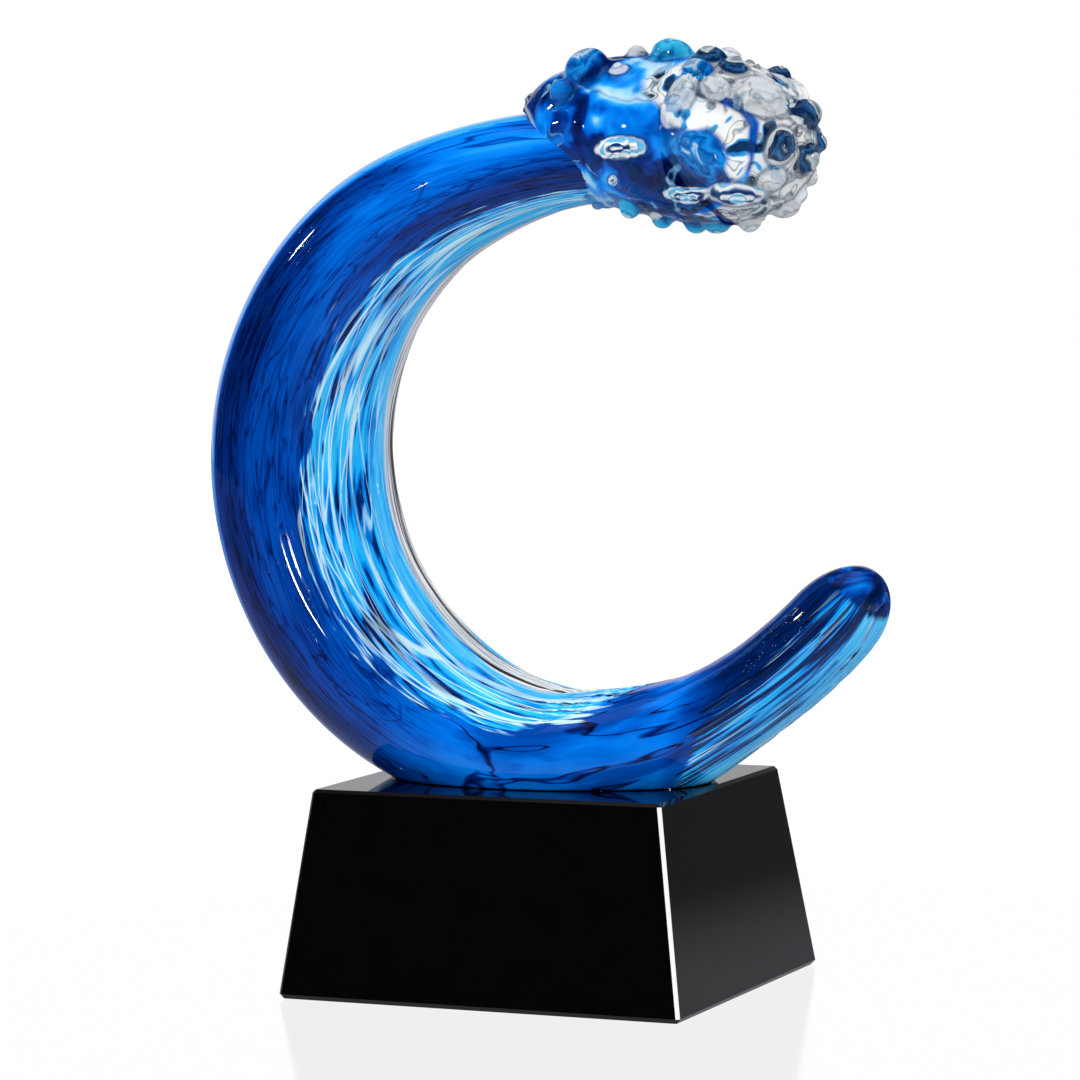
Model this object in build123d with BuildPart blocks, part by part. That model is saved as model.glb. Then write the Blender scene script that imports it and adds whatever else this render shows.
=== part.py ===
from build123d import *
import os
from math import copysign, cos, pi, radians, sin

# Glass wave sculpture: a curling wave of blue and clear glass with a frothy
# crest, bonded by its ground foot to a black glass plinth.
# Millimetres. The origin is the centre of the plinth's underside, +Z is up,
# +X is the way the crest and the tail point, and the front looks along -Y.

os.makedirs("parts", exist_ok=True)

# Plinth: a block of black glass with sloping sides and ground edges
base_height = 63.5
base_length = 133.0
base_depth = 111.0
base_setback = 8.8
base_edge_bevel = 1.0
base_foot_bevel = 1.5

# Bond: the film of clear adhesive under the wave's ground foot
bond_thickness = 0.3

# Curl: the wave's middle line, as tangent arcs that start over the foot.
# One run goes back, up and over to the crest, the other out to the tail.
foot_place = 9.0
foot_grind = 11.5
heel_radius = 97.0
heel_sweep = 14.5
back_radius = 90.0
back_sweep = 76.5
shoulder_radius = 88.0
shoulder_sweep = 65.5
crest_radius = 140.0
crest_sweep = 30.5
belly_radius = 97.0
belly_sweep = 29.0
tail_radius = 170.0
tail_sweep = 23.5

# Wave: half its width in the plane of the curl, half its depth from front to
# back, and the least clear glass over the blue
wave_half_width = 27.5
wave_half_depth = 32.0
clear_skin = 2.2
flank_squareness_share = 2.35
ribbed_half_angle = 100.0

# Main ribs on the clear side: their count, the degrees from one to the next, the
# share of the section that the grooves between them take, and the points that
# draw one rib and the plain side
rib_count = 13
rib_pitch_angle = 15.0
groove_depth_share = 0.04
points_per_rib = 8
points_on_plain_side = 12
points_per_core = 28

# Stations along each run: share of the run, share of the half width, share of
# the half depth, share of the section that is clear on its ribbed side, and
# the degrees by which the ribbed side has turned away from the curl's inside
crest_run_shares = (
    (1.00, 0.49, 0.46, 0.20, 0),
    (0.90, 0.55, 0.60, 0.28, 0),
    (0.80, 0.66, 0.72, 0.38, 0),
    (0.68, 0.83, 0.81, 0.48, 0),
    (0.56, 0.94, 0.87, 0.55, 0),
    (0.43, 1.00, 0.91, 0.58, 0),
    (0.31, 0.97, 0.95, 0.56, 0),
    (0.20, 0.90, 0.98, 0.50, 0),
    (0.10, 0.80, 1.00, 0.42, 0),
)
tail_run_shares = (
    (0.00, 0.70, 1.00, 0.34, -5),
    (0.14, 0.69, 0.90, 0.32, -25),
    (0.28, 0.65, 0.74, 0.32, -55),
    (0.42, 0.56, 0.59, 0.34, -90),
    (0.56, 0.52, 0.52, 0.38, -120),
    (0.70, 0.51, 0.49, 0.42, -150),
    (0.84, 0.50, 0.46, 0.46, -175),
)
# The tail's round tip: share of the run, and share of the last section's size
tail_tip_shares = ((0.92, 0.88), (0.97, 0.62), (1.00, 0.20))
core_tip_shares = ((0.91, 0.60), (0.94, 0.20))

# Crest head: an egg of glass lapped over the arm's end, blue next to the arm
# and clear at the nose, with a blue trail wound round the joint. Its widest
# place is past the arm's end, and its lap tapers back along the arm
head_radius = 26.0
head_nose_length = 37.0
head_lap_length = 62.0
head_past_arm = 12.0
head_rise = 6.5
rim_lap = 39.0
rim_tilt = 45.0
joint_past_arm = 11.0
joint_tilt = 33.0
trail_width = 5.0
trail_proud = 1.2
trail_depth = 2.0

# Froth drops: degrees from the tip of the nose, degrees round the head from
# its top towards the front, then half the length and half the width as shares
# of the head's radius, and the degrees that the length is turned from the
# line of the head. The inlays are sunk deeper than the drops.
drop_sink_share = 0.20
inlay_sink_share = 0.55
drop_shares = {
    "drop_shoulder_large": (126, 28, 0.30, 0.29, 0),
    "drop_shoulder_small": (131, 55, 0.18, 0.17, 0),
    "drop_top_bud": (113, 36, 0.12, 0.11, 0),
    "drop_top_clear": (113, 2, 0.15, 0.14, 0),
    "drop_top_teal": (101, 8, 0.27, 0.22, 0),
    "drop_top_blue": (87, 14, 0.20, 0.18, 0),
    "drop_curl": (88, 37, 0.20, 0.16, 40),
    "drop_tall_finger": (90, 62, 0.32, 0.15, 80),
    "drop_striated": (75, 48, 0.17, 0.15, -30),
    "drop_ridge_blue": (73, 22, 0.16, 0.14, 0),
    "drop_nose_top": (56, -12, 0.17, 0.16, 0),
    "drop_shell": (53, 40, 0.31, 0.25, 20),
    "drop_nose_dark": (27, 8, 0.30, 0.20, 75),
    "drop_nose_small": (9, -40, 0.14, 0.12, 60),
    "drop_nose_eye": (34, 86, 0.20, 0.16, 80),
    "drop_nose_mid": (12, 118, 0.19, 0.15, 70),
    "drop_nose_low": (25, 220, 0.12, 0.11, 0),
    "drop_side_clear": (39, 126, 0.17, 0.15, 0),
    "inlay_eye_upper": (106, 100, 0.31, 0.13, 10),
    "inlay_lobe": (75, 97, 0.38, 0.27, -35),
    "inlay_eye_lower": (84, 130, 0.28, 0.12, 10),
    "inlay_swirl": (59, 133, 0.32, 0.17, -20),
    "drop_tear": (109, 126, 0.08, 0.06, 60),
    "drop_chain_first": (107, 158, 0.18, 0.16, 40),
    "drop_chain_finger": (99, 158, 0.13, 0.09, 60),
    "drop_chain_aqua": (100, 178, 0.16, 0.14, 0),
    "drop_chain_bright": (90, 180, 0.18, 0.16, 0),
    "drop_chain_ring": (78, 174, 0.20, 0.15, 0),
    "drop_chain_clear": (63, 182, 0.17, 0.15, 0),
    "drop_chain_wide": (43, 190, 0.20, 0.17, -20),
    "drop_chain_last": (31, 192, 0.13, 0.11, 0),
    "back_shoulder": (122, 325, 0.24, 0.22, 0),
    "back_ridge": (105, 338, 0.18, 0.16, 0),
    "back_large": (98, 302, 0.30, 0.24, 30),
    "back_crown": (87, 343, 0.18, 0.16, 0),
    "back_blue": (79, 315, 0.20, 0.17, -20),
    "back_shell": (58, 318, 0.29, 0.23, 30),
    "inlay_back_eye": (108, 262, 0.30, 0.13, -10),
    "inlay_back_lobe": (85, 262, 0.35, 0.26, 30),
    "back_finger": (66, 285, 0.28, 0.14, 70),
    "back_nose": (42, 278, 0.21, 0.18, 60),
    "back_side": (47, 240, 0.20, 0.17, 0),
    "inlay_back_swirl": (74, 232, 0.28, 0.16, 20),
    "back_low_first": (111, 224, 0.16, 0.14, 0),
    "back_low_second": (101, 206, 0.17, 0.15, 0),
    "back_low_third": (89, 204, 0.16, 0.14, 0),
    "back_low_fourth": (68, 207, 0.18, 0.16, 0),
}

# Worked out from the sizes above
seat_height = base_height + bond_thickness
foot_half_width = wave_half_width * tail_run_shares[0][1]
foot_line_height = seat_height + foot_half_width - foot_grind
crest_heading = radians(180 - heel_sweep - back_sweep - shoulder_sweep - crest_sweep)


def finish(part, label):
    """Names a finished piece and writes it to its own file."""
    part.label = label
    export_step(part, f"parts/{label}.step")


# The plinth is ground from one block, so its sides run straight and its edges
# are bevelled all round
with BuildPart() as base_block:
    with BuildSketch(Plane.XY):
        Rectangle(base_length, base_depth)
    with BuildSketch(Plane.XY.offset(base_height)):
        Rectangle(base_length - 2 * base_setback, base_depth - 2 * base_setback)
    loft(ruled=True)
    underside = base_block.faces().sort_by(Axis.Z)[0]
    upper_edges = base_block.edges() - underside.edges()
    chamfer(upper_edges, base_edge_bevel)
    chamfer(base_block.faces().sort_by(Axis.Z)[0].edges(), base_foot_bevel)
finish(base_block.part, "base_block")


# The curl's middle line lies in the plane of the front view. It starts at its
# lowest point, over the foot, so the foot keeps its seat when a radius changes
with BuildLine(Plane.XZ) as crest_run:
    heel = JernArc((foot_place, foot_line_height), (-1, 0), heel_radius, -heel_sweep)
    back = JernArc(heel @ 1, heel % 1, back_radius, -back_sweep)
    shoulder = JernArc(back @ 1, back % 1, shoulder_radius, -shoulder_sweep)
    JernArc(shoulder @ 1, shoulder % 1, crest_radius, -crest_sweep)

with BuildLine(Plane.XZ) as tail_run:
    belly = JernArc((foot_place, foot_line_height), (1, 0), belly_radius, belly_sweep)
    JernArc(belly @ 1, belly % 1, tail_radius, tail_sweep)


def section_plane(run, share, forward):
    """The plane across a run: x points to the curl's inside and y to the front."""
    wire = run.wires()[0]
    heading = (wire % share) * forward
    front = Vector(0, -1, 0)
    return Plane(wire @ share, x_dir=front.cross(heading), z_dir=heading)


def flank_point(turn, half_width, half_depth):
    """A point of the squared oval that is the wave's outside."""
    power = 2 / flank_squareness_share
    inward = copysign(abs(cos(turn)) ** power, cos(turn)) * half_width
    front = copysign(abs(sin(turn)) ** power, sin(turn)) * half_depth
    return inward, front


def clear_share_at(turn, deepest_share, ribbed_turn):
    """How much of the section is clear there: most in the middle of the ribbed side."""
    away = abs((turn - ribbed_turn + pi) % (2 * pi) - pi)
    reach = min(away / radians(ribbed_half_angle), 1)
    return deepest_share * (1 + cos(pi * reach)) / 2


def groove_share_at(away):
    """How far the grooves between the ribs cut in: none on a rib, none far from them."""
    fade = (1 + cos(pi * min(abs(away) / radians(ribbed_half_angle), 1))) / 2
    return groove_depth_share * fade * (1 - cos(2 * pi * away / radians(rib_pitch_angle))) / 2


# Angles from the middle rib: close together over the ribs, wide on the plain side
ribbed_reach = rib_count * rib_pitch_angle / 2
ribbed_steps = rib_count * points_per_rib
plain_steps = points_on_plain_side + 1
section_angles = [
    radians(-ribbed_reach + 2 * ribbed_reach * step / ribbed_steps) for step in range(ribbed_steps + 1)
] + [
    radians(ribbed_reach + (360 - 2 * ribbed_reach) * step / plain_steps)
    for step in range(1, plain_steps)
]


def closed_section(plane, corners):
    """A face inside one smooth closed curve through the corners."""
    with BuildSketch(plane) as section:
        with BuildLine():
            Spline(corners, periodic=True)
        make_face()
    return section.sketch.face()


def wave_section(plane, half_width, half_depth, ribbed=False):
    """The wave's outside at one station, with or without its ribs."""
    corners = []
    for turn in section_angles:
        inward, front = flank_point(turn, half_width, half_depth)
        keep = 1 - groove_share_at((turn + pi) % (2 * pi) - pi) if ribbed else 1
        corners.append((inward * keep, front * keep))
    return closed_section(plane, corners)


def core_section(plane, half_width, half_depth, deepest_share, ribbed_turn, size_share=1):
    """The blue glass at one station, off centre, away from the ribbed side."""
    corners = []
    for step in range(points_per_core):
        turn = 2 * pi * step / points_per_core
        outside = Vector(*flank_point(turn, half_width, half_depth))
        clear = clear_skin + outside.length * clear_share_at(turn, deepest_share, ribbed_turn)
        inside = outside * ((outside.length - clear) / outside.length) * size_share
        corners.append((inside.X, inside.Y))
    return closed_section(plane, corners)


# Both sets of sections run the same way, from the crest's end to the tail's tip
outer_sections = []
core_sections = []
for share, width_share, depth_share, clear_share, ribs_turned in crest_run_shares:
    here = section_plane(crest_run, share, -1)
    half_width = wave_half_width * width_share
    half_depth = wave_half_depth * depth_share
    outer_sections.append(wave_section(here, half_width, half_depth, ribbed=True))
    core_sections.append(core_section(here, half_width, half_depth, clear_share, radians(ribs_turned)))
for share, width_share, depth_share, clear_share, ribs_turned in tail_run_shares:
    here = section_plane(tail_run, share, 1)
    half_width = wave_half_width * width_share
    half_depth = wave_half_depth * depth_share
    outer_sections.append(wave_section(here, half_width, half_depth, ribbed=True))
    core_sections.append(core_section(here, half_width, half_depth, clear_share, radians(ribs_turned)))
for share, size_share in tail_tip_shares:
    here = section_plane(tail_run, share, 1)
    outer_sections.append(wave_section(here, half_width * size_share, half_depth * size_share))
for share, size_share in core_tip_shares:
    here = section_plane(tail_run, share, 1)
    core_sections.append(
        core_section(here, half_width, half_depth, clear_share, radians(ribs_turned), size_share)
    )

# The whole wave, and the blue glass inside it, both ground flat at the foot
seat = Plane.XY.offset(seat_height)
with BuildPart() as wave_body:
    loft(outer_sections)
    split(bisect_by=seat, keep=Keep.TOP)

with BuildPart() as wave_core:
    loft(core_sections)
    split(bisect_by=seat, keep=Keep.TOP)
finish(wave_core.part, "wave_core")

# The clear glass that the blue is gathered into, thick on the ribbed side
with BuildPart() as wave_casing:
    add(wave_body.part)
    add(wave_core.part, mode=Mode.SUBTRACT)
finish(wave_casing.part, "wave_casing")

# The adhesive fills the whole ground foot and nothing past it
with BuildPart() as bond_layer:
    extrude(wave_body.faces().sort_by(Axis.Z)[0], amount=bond_thickness)
finish(bond_layer.part, "bond_layer")


# The head carries on the arm's line, a little above it. In this plane x runs
# along the head from the arm to the nose, and y is up
arm_end = crest_run.wires()[0] @ 1
head_line = Vector(cos(crest_heading), 0, sin(crest_heading))
head_up = Vector(0, -1, 0).cross(head_line)
head_side = Plane(
    arm_end + head_up * head_rise + head_line * head_past_arm, x_dir=head_line, z_dir=(0, -1, 0)
)
head_axis = Axis(head_side.origin, head_side.x_dir)


def head_egg(grow):
    """The egg: two half ellipsoids that meet at the widest place, moved out by grow."""
    nose_length = head_nose_length + grow
    lap_length = head_lap_length + grow
    radius = head_radius + grow
    with BuildPart() as egg:
        with BuildSketch(head_side):
            with BuildLine():
                EllipticalCenterArc((0, 0), nose_length, radius, 0, arc_size=90)
                EllipticalCenterArc((0, 0), lap_length, radius, 90, arc_size=90)
                Line((-lap_length, 0), (nose_length, 0))
            make_face()
        revolve(axis=head_axis)
    return egg.part


def across_head(past_arm, tilt):
    """A plane across the head, its top leaning back by tilt, facing the nose."""
    centre = head_side.from_local_coords((past_arm - head_past_arm, 0))
    lean = radians(tilt)
    return Plane(centre, z_dir=head_side.x_dir * cos(lean) + head_side.y_dir * sin(lean))


egg = head_egg(0)
joint = across_head(joint_past_arm, joint_tilt)

# The trail is a blue ribbon of glass let into the joint and standing proud
with BuildPart() as crest_trail:
    add(head_egg(trail_proud))
    add(head_egg(-trail_depth), mode=Mode.SUBTRACT)
    split(bisect_by=joint.offset(trail_width / 2), keep=Keep.BOTTOM)
    split(bisect_by=joint.offset(-trail_width / 2), keep=Keep.TOP)
finish(crest_trail.part, "crest_trail")

# The blue cap takes the arm's end in a socket and laps back over it to a rim
with BuildPart() as crest_cap:
    add(egg)
    split(bisect_by=joint, keep=Keep.BOTTOM)
    split(bisect_by=across_head(-rim_lap, rim_tilt), keep=Keep.TOP)
    add(crest_trail.part, mode=Mode.SUBTRACT)
    add(wave_body.part, mode=Mode.SUBTRACT)
finish(crest_cap.part, "crest_cap")

with BuildPart() as crest_nose:
    add(egg)
    split(bisect_by=joint, keep=Keep.TOP)
    add(crest_trail.part, mode=Mode.SUBTRACT)
finish(crest_nose.part, "crest_nose")


def on_head(from_nose, around, turned):
    """A plane on the egg: z points out of the glass and x along the drop."""
    length = head_nose_length if from_nose < 90 else head_lap_length
    polar = radians(from_nose)
    line = head_side.x_dir
    spoke = head_side.y_dir * cos(radians(around)) + head_side.z_dir * sin(radians(around))
    origin = head_side.origin + line * length * cos(polar) + spoke * head_radius * sin(polar)
    outward = (line * cos(polar) / length + spoke * sin(polar) / head_radius).normalized()
    across = spoke.cross(line)
    down_the_head = across.cross(outward)
    drop_line = down_the_head * cos(radians(turned)) + across * sin(radians(turned))
    return Plane(origin, x_dir=drop_line, z_dir=outward)


def drop_solid(where, half_long, half_wide, sink):
    """A ball of glass drawn out along x, then set on its plane, partly sunk."""
    with BuildPart() as drop:
        Sphere(half_wide)
        scale(by=(half_long / half_wide, 1, 1))
    return drop.part.moved(where.offset(-sink).location)


# Each drop was dabbed on hot, so it ends where the head or an earlier drop is
drops = []
for name, (from_nose, around, long_share, wide_share, turned) in drop_shares.items():
    half_long = head_radius * long_share
    half_wide = head_radius * wide_share
    sink_share = inlay_sink_share if name.startswith("inlay") else drop_sink_share
    where = on_head(from_nose, around, turned)
    with BuildPart() as drop:
        add(drop_solid(where, half_long, half_wide, half_wide * sink_share))
        add(egg, mode=Mode.SUBTRACT)
        if abs(joint.to_local_coords(where.origin).Z) < half_long + trail_width:
            add(crest_trail.part, mode=Mode.SUBTRACT)
        for centre, reach, earlier in drops:
            if (where.origin - centre).length < half_long + reach:
                add(earlier, mode=Mode.SUBTRACT)
    drops.append((where.origin, half_long, drop.part))
    finish(drop.part, name)

print(f"crest run {crest_run.wires()[0].length:.1f} mm, tail run {tail_run.wires()[0].length:.1f} mm")
print(f"{len(drops)} froth drops")
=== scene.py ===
# %% [markdown]
# # A glass wave with a frothy crest
# The real object is studio glass: a thick arm of clear and blue glass drawn into
# the letter C, a lump of drops for the crest, and a black glass plinth. The solid
# model already exists, so this lesson dresses it: it loads that model as a
# fixed frame, and every piece made here is in the same metres and the same place.

# %% Load the frame and keep its parts
from math import cos, pi, radians, sin, sqrt, tan

import bmesh
import bpy
import numpy as np
from mathutils import Matrix, Vector


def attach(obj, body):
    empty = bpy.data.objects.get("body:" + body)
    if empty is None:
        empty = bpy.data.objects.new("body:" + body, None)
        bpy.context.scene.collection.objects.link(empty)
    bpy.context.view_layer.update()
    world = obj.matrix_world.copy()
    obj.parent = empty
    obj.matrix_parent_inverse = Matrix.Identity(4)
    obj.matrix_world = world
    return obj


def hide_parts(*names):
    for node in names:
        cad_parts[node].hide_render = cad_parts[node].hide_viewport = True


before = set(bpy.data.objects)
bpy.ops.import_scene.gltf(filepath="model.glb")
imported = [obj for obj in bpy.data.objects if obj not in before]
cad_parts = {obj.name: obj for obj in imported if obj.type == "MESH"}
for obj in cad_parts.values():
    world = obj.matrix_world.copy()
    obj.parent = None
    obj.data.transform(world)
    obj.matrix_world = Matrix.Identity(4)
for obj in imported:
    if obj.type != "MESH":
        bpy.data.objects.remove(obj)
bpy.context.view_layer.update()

MM = 0.001


def put(name, data):
    """A new object in the scene."""
    made = bpy.data.objects.new(name, data)
    bpy.context.scene.collection.objects.link(made)
    return made


def keep(mesh, note, values):
    """Keeps a number on each point of a mesh."""
    layer = mesh.attributes.new(note, "FLOAT", "POINT")
    layer.data.foreach_set("value", values.astype(np.float32))


# %% [markdown]
# ## The camera
# The photograph was taken with a long lens from the front right, a little above
# the plinth. A long lens keeps the plinth's edges almost parallel. The camera is
# placed by its angles round the sculpture, so the numbers can be read as a
# photographer would say them, and not as a matrix.

# %% Place the camera
view_azimuth = radians(24.9)
view_elevation = radians(4.37)
view_roll = radians(-1.08)
view_distance = 1382.7 * MM
view_target = Vector((-1.13, 0.0, 136.9)) * MM
focal_pixels, frame_pixels = 4500, 1080
sensor_width = 36.0

to_camera = Vector((
    sin(view_azimuth) * cos(view_elevation),
    -cos(view_azimuth) * cos(view_elevation),
    sin(view_elevation),
))
camera_place = view_target + to_camera * view_distance
level_right = (-to_camera).cross(Vector((0, 0, 1))).normalized()
level_up = level_right.cross(-to_camera)
camera_right = level_right * cos(view_roll) + level_up * sin(view_roll)
camera_up = level_up * cos(view_roll) - level_right * sin(view_roll)

camera_data = bpy.data.cameras.new("studio_camera")
camera_data.sensor_width = sensor_width
camera_data.sensor_fit = "HORIZONTAL"
camera_data.lens = focal_pixels / frame_pixels * sensor_width
camera_data.clip_end = 20
camera = put("studio_camera", camera_data)
camera_turn = Matrix((camera_right, camera_up, to_camera)).transposed()
camera.matrix_world = Matrix.Translation(camera_place) @ camera_turn.to_4x4()
bpy.context.scene.camera = camera
print("camera at", [round(v, 3) for v in camera_place], "lens", round(camera_data.lens, 1), "mm")

# %% [markdown]
# ## Sums on sockets
# Node trees are drawn by hand in Blender, but here they are written. A small class
# wraps one output socket and knows how to add and multiply, so a mask reads like
# the sum that it is. One more method makes every other kind of node.

# %% A socket that can be added and multiplied
class Wire:
    """An output socket of a node tree that takes part in sums."""

    def __init__(self, bench, socket):
        self.bench, self.socket = bench, socket

    def maths(self, operation, *others, clamp=False):
        settings = {"operation": operation, "use_clamp": clamp}
        return self.bench.node("ShaderNodeMath", settings, dict(enumerate((self, *others))))

    def __add__(self, other):
        return self.maths("ADD", other)

    def __sub__(self, other):
        return self.maths("SUBTRACT", other)

    def __rsub__(self, other):
        return (self * -1.0) + other

    def __mul__(self, other):
        return self.maths("MULTIPLY", other)

    def __truediv__(self, other):
        return self.maths("DIVIDE", other)

    __radd__ = __add__
    __rmul__ = __mul__

    def held(self):
        """Kept from 0 to 1."""
        return self.maths("ADD", 0.0, clamp=True)

    def ramp(self, low, high):
        """0 below low, 1 above high, smooth between."""
        return self.bench.node(
            "ShaderNodeMapRange", {"interpolation_type": "SMOOTHSTEP", "clamp": True},
            {"Value": self, "From Min": low, "From Max": high})


print("wires can be added and multiplied")

# %% A bench that holds a tree's nodes
class Bench:
    """One node tree, and the one method that puts a node in it."""

    def __init__(self, tree):
        self.tree = tree
        tree.nodes.clear()

    def node(self, kind, settings=None, inputs=None, out=0):
        made = self.tree.nodes.new(kind)
        for name, value in (settings or {}).items():
            if name == "stops":
                ramp = made.color_ramp.elements
                ramp.remove(ramp[1])
                ramp[0].position, ramp[0].color = value[0][0], (*value[0][1], 1.0)
                for place, colour in value[1:]:
                    ramp.new(place).color = (*colour, 1.0)
            else:
                setattr(made, name, value)
        for name, value in (inputs or {}).items():
            socket = made.inputs[name]
            if isinstance(value, Wire):
                self.tree.links.new(value.socket, socket)
            else:
                socket.default_value = value
        return Wire(self, made.outputs[out]) if made.outputs else None

    def mix(self, factor, *pair):
        """A colour between two colours."""
        first, second = (colour if isinstance(colour, Wire) else (*colour, 1.0) for colour in pair)
        return self.node("ShaderNodeMix", {"data_type": "RGBA"}, {0: factor, 6: first, 7: second}, out=2)

    def noise(self, where, scale, detail, roughness=0.5, seed=None, out=0, **more):
        """Soft clouds round 0.5. Other seeds give other clouds."""
        inputs = {"Vector": where, "Scale": scale, "Detail": detail, "Roughness": roughness, **more}
        settings = {}
        if seed is not None:
            settings, inputs["W"] = {"noise_dimensions": "4D"}, seed
        return self.node("ShaderNodeTexNoise", settings, inputs, out)

    def ray(self, kind):
        """1 for rays of one kind, and 0 for others."""
        return self.node("ShaderNodeLightPath", out=f"Is {kind} Ray")

    def object_place(self):
        """Where a point lies, in the object's own metres."""
        return self.node("ShaderNodeTexCoord", out="Object")


def new_material(name):
    """An empty material and the bench to fill it on."""
    material = bpy.data.materials.new(name)
    material.use_nodes = True
    return material, Bench(material.node_tree)


print("a bench makes nodes")

# %% [markdown]
# ## The studio
# Glass shows what stands round it. A product photographer puts clear glass before
# a white backdrop, keeps the rest of the room dark so that the edges draw
# themselves, and adds narrow lamps for the bright streaks. The sky here does the
# same: what is seen through the glass is white near the horizon and dark higher
# up, and what is mirrored by it is mostly dark.

# %% Make the room round the sculpture
world = bpy.data.worlds.new("studio_room")
bpy.context.scene.world = world
world.use_nodes = True
world.cycles.sampling_method = "NONE"
room = Bench(world.node_tree)
direction = room.node("ShaderNodeTexCoord", out="Generated")
height = room.node("ShaderNodeSeparateXYZ", inputs={0: direction}, out=2)
seen_through = room.node("ShaderNodeValToRGB", {"stops": (
    (0.0, (1.0, 1.0, 1.0)),
    (0.36, (1.0, 1.0, 1.0)),
    (0.4, (0.05, 0.06, 0.08)),
    (0.47, (0.05, 0.06, 0.08)),
    (0.5, (0.95, 0.97, 1.0)),
    (0.68, (0.9, 0.93, 0.97)),
    (0.72, (0.08, 0.09, 0.11)),
    (0.8, (0.08, 0.09, 0.11)),
    (0.84, (1.0, 1.0, 1.0)),
)}, {0: height})
behind = room.node("ShaderNodeVectorMath", {"operation": "DOT_PRODUCT"}, {
    0: direction, 1: tuple(-to_camera)}, out="Value")
backdrop = behind.ramp(0.72, 0.84) * (1.0 - height.ramp(0.35, 0.5))
overhead = height.ramp(0.86, 0.93)
mirrored = room.mix(backdrop + overhead * 0.5, (0.004, 0.004, 0.005), (0.62, 0.63, 0.65))
plain_white = (1.0, 1.0, 1.0)
by_mirror = room.ray("Glossy") * (1.0 - room.ray("Transmission"))
sky = room.mix(by_mirror, seen_through, mirrored)
sky = room.mix(room.ray("Diffuse"), sky, (1.6, 1.6, 1.6))
sky = room.mix(room.ray("Camera"), sky, plain_white)
shine = room.node("ShaderNodeBackground", inputs={"Color": sky, "Strength": 1.0})
room.node("ShaderNodeOutputWorld", inputs={0: shine})
bpy.context.scene.view_settings.view_transform = "Standard"
cycles = bpy.context.scene.cycles
cycles.max_bounces = 24
cycles.transmission_bounces = 24
cycles.glossy_bounces = 12
cycles.transparent_max_bounces = 48
print("the room is lit")

# %% [markdown]
# ## Strobes
# The photograph's small bright streaks are mirror images of narrow flash heads left
# of the sculpture and almost in front of it. A round arm mirrors every lamp twice,
# so each head here has a snoot, a tube that lets its light out in a thin cone: only
# the place it is aimed at sees it. A last panel, without a snoot, stands where the
# plinth's ground edge mirrors it, which draws that edge as a bright line.

# %% Hang the strobes
lamp_distance = 1.5


def strobe(name, aim, azimuth, elevation, wide, tall, brightness, cone=180.0):
    """A bright panel that looks at its aim; metres and degrees."""
    turn, rise, half_cone = radians(azimuth), radians(elevation), radians(cone / 2)
    way = Vector((sin(turn) * cos(rise), -cos(turn) * cos(rise), sin(rise)))
    lamp_data = bpy.data.lights.new(name, "AREA")
    lamp_data.shape, lamp_data.size, lamp_data.size_y = "RECTANGLE", wide, tall
    lamp_data.spread = 2 * half_cone
    lamp_data.energy = brightness * pi * wide * tall * (1 - half_cone / tan(half_cone))
    lamp = put(name, lamp_data)
    lamp.location = Vector(aim) + way * lamp_distance
    lamp.rotation_euler = way.to_track_quat("Z", "Y").to_euler()
    print(name, "at", [round(v, 2) for v in lamp.location])


strobe("strobe_arm", (-0.07, -0.02, 0.215), -74.5, 26.5, 0.035, 0.26, 250.0, 6.0)
strobe("strobe_low", (-0.076, -0.03, 0.132), -17.0, 4.0, 0.024, 0.07, 250.0, 3.0)
strobe("strobe_tail", (0.08, -0.02, 0.114), -55.0, 24.0, 0.03, 0.06, 250.0, 5.0)
strobe("strobe_cap", (0.006, -0.026, 0.247), -60.0, 2.0, 0.03, 0.06, 250.0, 4.0)
strobe("strobe_nose", (0.038, -0.026, 0.246), -23.0, 11.0, 0.03, 0.16, 250.0, 5.0)
strobe("edge_lamp", (0.0, 0.0, 0.2), 65.0, 5.5, 0.07, 0.34, 24.0)

# %% [markdown]
# ## The floor
# A plain white table top with a faint mirror image of the plinth in it.

# %% Lay the floor
floor_half, floor_drop = 3.0, 0.0002
floor_mesh = bpy.data.meshes.new("floor")
floor_corners = [
    (x * floor_half, y * floor_half, -floor_drop) for x, y in ((-1, -1), (1, -1), (1, 1), (-1, 1))]
floor_mesh.from_pydata(floor_corners, [], [(0, 1, 2, 3)])
floor = put("floor", floor_mesh)
floor_paint, bench = new_material("white_table")
from_middle = bench.node(
    "ShaderNodeVectorMath", {"operation": "LENGTH"}, {0: bench.object_place()}, out="Value")
in_mirror = bench.ray("Glossy") * (1.0 - bench.ray("Transmission"))
dim = bench.mix(from_middle.ramp(0.1, 0.9), (0.36, 0.37, 0.4), (0.1, 0.1, 0.11))
far_white = bench.mix(from_middle.ramp(0.2, 0.7), plain_white, (1.1, 1.1, 1.1))
matt = bench.node("ShaderNodeEmission", inputs={
    "Color": bench.mix(in_mirror, far_white, dim), "Strength": 1.1})
gloss = bench.node("ShaderNodeBsdfGlossy", inputs={"Color": (1.0, 1.0, 1.0, 1.0), "Roughness": 0.12})
top = bench.node("ShaderNodeMixShader", inputs={0: 0.22, 1: matt, 2: gloss})
bench.node("ShaderNodeOutputMaterial", inputs={0: top})
floor_mesh.materials.append(floor_paint)
print("floor", 2 * floor_half, "m square")

# %% [markdown]
# ## Black glass for the plinth
# Polished black glass is a dark body under a mirror-smooth surface. Up close it
# has faint polishing marks, which show only as a slight change of roughness.

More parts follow.
